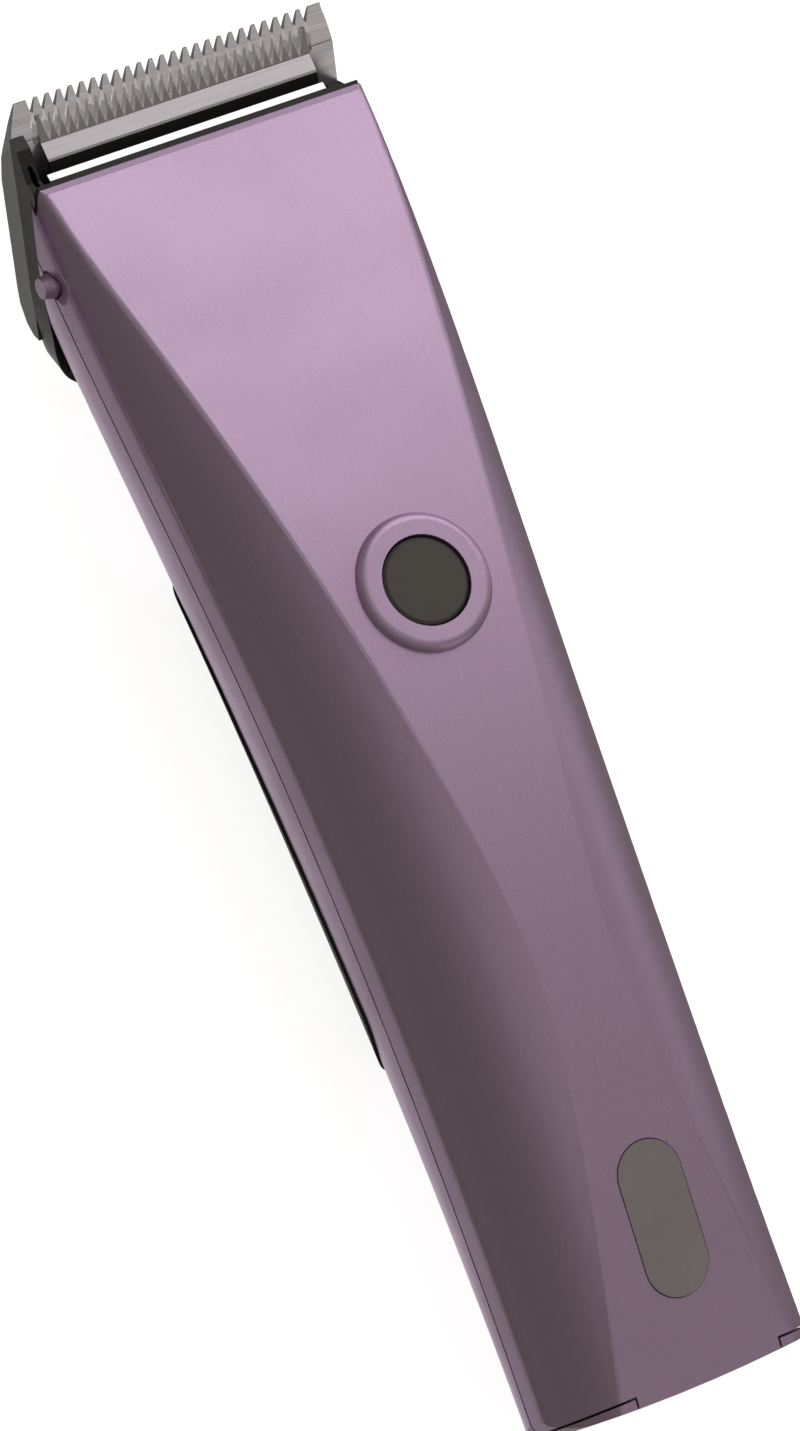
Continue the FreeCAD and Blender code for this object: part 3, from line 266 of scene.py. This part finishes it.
def scratch(shader, colour, roughness, lines):
    """Adds fine scratches along the grinding direction, and returns the colour of the ground steel.

    The pattern is scaled by lines, one factor per axis.
    """
    scratches = shader.noise(1.0, 5.0, 0.65, shader.stretched(*lines))
    ground = shader.blend(scratches, scaled(colour, GROUND_DARK), scaled(colour, GROUND_LIGHT))
    shader.link(shader.span(scratches, roughness - 0.07, roughness + 0.09, 0.3, 0.7), "Roughness")
    shader.bump(scratches, SCRATCH_DEPTH, 0.5)
    return ground


def ground_steel(name, colour, roughness, lines):
    """Ground or turned metal."""
    shader = Shader(name)
    shader.set(Metallic=1.0)
    shader.link(scratch(shader, colour, roughness, lines), "Base Color")
    return shader.material


def blade_with_painted_highlight(name, colour, roughness):
    """Ground steel whose tooth flanks, which face left and right, are painted pale and less metallic as a
    painted highlight.
    """
    shader = Shader(name)
    ground = scratch(shader, colour, roughness, ACROSS)
    # Painted highlight: faces that lean left or right, short of the upright sides, get a pale, less
    # metallic colour.
    normal = shader.node("TexCoord").outputs["Normal"]
    sideways = shader.node("SeparateXYZ", {"Vector": normal}).outputs["X"]
    steepness = shader.node("Math", {0: sideways}, operation="ABSOLUTE").outputs["Value"]
    leaning = shader.span(steepness, 0.0, 1.0, 0.25, 0.45)
    upright = shader.span(steepness, 1.0, 0.0, 0.88, 0.96)
    highlight_mask = shader.node("Math", {0: leaning, 1: upright}, operation="MULTIPLY").outputs["Value"]
    # Mix has a set of sockets per data type: its colours are inputs 6 and 7, and output 2
    painted_highlight = shader.node("Mix", {"Factor": highlight_mask, 6: ground, 7: (*PAINTED_FLANK_HIGHLIGHT, 1.0)}, data_type="RGBA")
    shader.link(painted_highlight.outputs[2], "Base Color")
    shader.link(shader.span(highlight_mask, 1.0, 0.25), "Metallic")
    return shader.material


def smoked_lens():
    """Smoked window: grey resin with a slight swirl, glossy on top."""
    shader = Shader("lens")
    swirl = shader.noise(160.0, 2.0)
    shader.link(shader.blend(swirl, (0.32, 0.28, 0.29), (0.39, 0.345, 0.355)), "Base Color")
    shader.link(shader.span(shader.noise(400.0), 0.2, 0.32), "Roughness")
    shader.set(Coat_Weight=0.35, Coat_Roughness=0.12)
    return shader.bump(shader.noise(900.0, 1.0), 0.01 * MM, 0.15).material


def wrap():
    """Shrink wrap of the cell, with faint rings of tension."""
    shader = Shader("cell_wrap")
    rings = shader.noise(1.0, 3.0, 0.5, shader.stretched(60.0, 700.0, 60.0))
    shader.link(shader.blend(rings, (0.03, 0.1, 0.24), (0.05, 0.15, 0.33)), "Base Color")
    shader.link(shader.span(rings, 0.22, 0.4), "Roughness")
    return shader.bump(rings, 0.03 * MM, 0.4).material


def solder_mask():
    """Green board lacquer with a faint grid of tracks below it."""
    shader = Shader("board_green")
    tracks = shader.node("TexBrick", {"Vector": shader.place, "Scale": 160.0, "Mortar Size": 0.06})
    tracks.inputs["Color1"].default_value = (0.012, 0.13, 0.05, 1.0)
    tracks.inputs["Color2"].default_value = (0.014, 0.15, 0.06, 1.0)
    tracks.inputs["Mortar"].default_value = (0.03, 0.24, 0.1, 1.0)
    shader.link(tracks.outputs["Color"], "Base Color")
    shader.link(shader.span(shader.noise(700.0), 0.25, 0.4), "Roughness")
    return shader.bump(tracks.outputs["Fac"], 0.03 * MM, 0.4).material


# Each finish and the CAD nodes that wear it.
FINISHES = [
    (satin_paint(), ["front_shell", "rear_shell", "tail_cap"]),
    (moulded("black_plastic", BLACK, 0.42),
     ["mouth_liner", "blade_holder", "cutter_carriage", "charge_socket", "length_lever", "motor_end_bell",
      "micro_switch"]),
    (rubber("grip_rubber", (0.018, 0.017, 0.016)), ["grip_insert", "motor_damper"]),
    (moulded("button_plastic", (0.09, 0.077, 0.067), 0.42, 1800.0, 0.015, 0.06), ["power_button"]),
    (smoked_lens(), ["indicator_lens"]),
    (blade_with_painted_highlight("blade_steel", STEEL, 0.32), ["comb_blade"]),
    (ground_steel("bar_steel", scaled(STEEL, 1.2), 0.16, ACROSS), ["tension_bar"]),
    (blade_with_painted_highlight("cutter_steel", scaled(STEEL, 0.72), 0.32), ["cutter_blade"]),
    (ground_steel("screw_steel", (0.5, 0.5, 0.5), 0.32, AROUND),
     ["comb_screw_left", "comb_screw_right", "lever_pin", "motor_screw_left", "motor_screw_right",
      "housing_screw_front", "housing_screw_rear_left", "housing_screw_rear_right", "motor_shaft",
      "drive_pin", "hinge_pin"]),
    (moulded("white_plastic", (0.68, 0.67, 0.63), 0.45), ["eccentric_cam", "motor_cradle"]),
    (ground_steel("motor_steel", (0.5, 0.5, 0.52), 0.34, ALONG),
     ["motor_can", "rotor_core", "motor_magnets"]),
    (ground_steel("brass", (0.72, 0.52, 0.24), 0.3, AROUND),
     ["commutator", "balance_weight", "cell_tab_tail", "cell_tab_front", "motor_tab_left",
      "motor_tab_right"]),
    (wrap(), ["battery_cell"]),
    (solder_mask(), ["circuit_board", "lamp_board"]),
    (moulded("lamp_chip", (0.78, 0.74, 0.55), 0.25, 900.0, 0.01, 0.05),
     ["lamp_chip_1", "lamp_chip_2", "lamp_chip_3"]),
]


def dress(material, names):
    """Gives each named node this one material."""
    for name in names:
        materials = NODES[name].data.materials
        materials.clear()
        materials.append(material)


# ---------------------------------------------------------------- the scene

add_camera()
add_floor()
add_world()
for light in LIGHTS:
    add_area_light(*light)
for finish, names in FINISHES:
    dress(finish, names)

bpy.context.scene.view_settings.view_transform = "Standard"
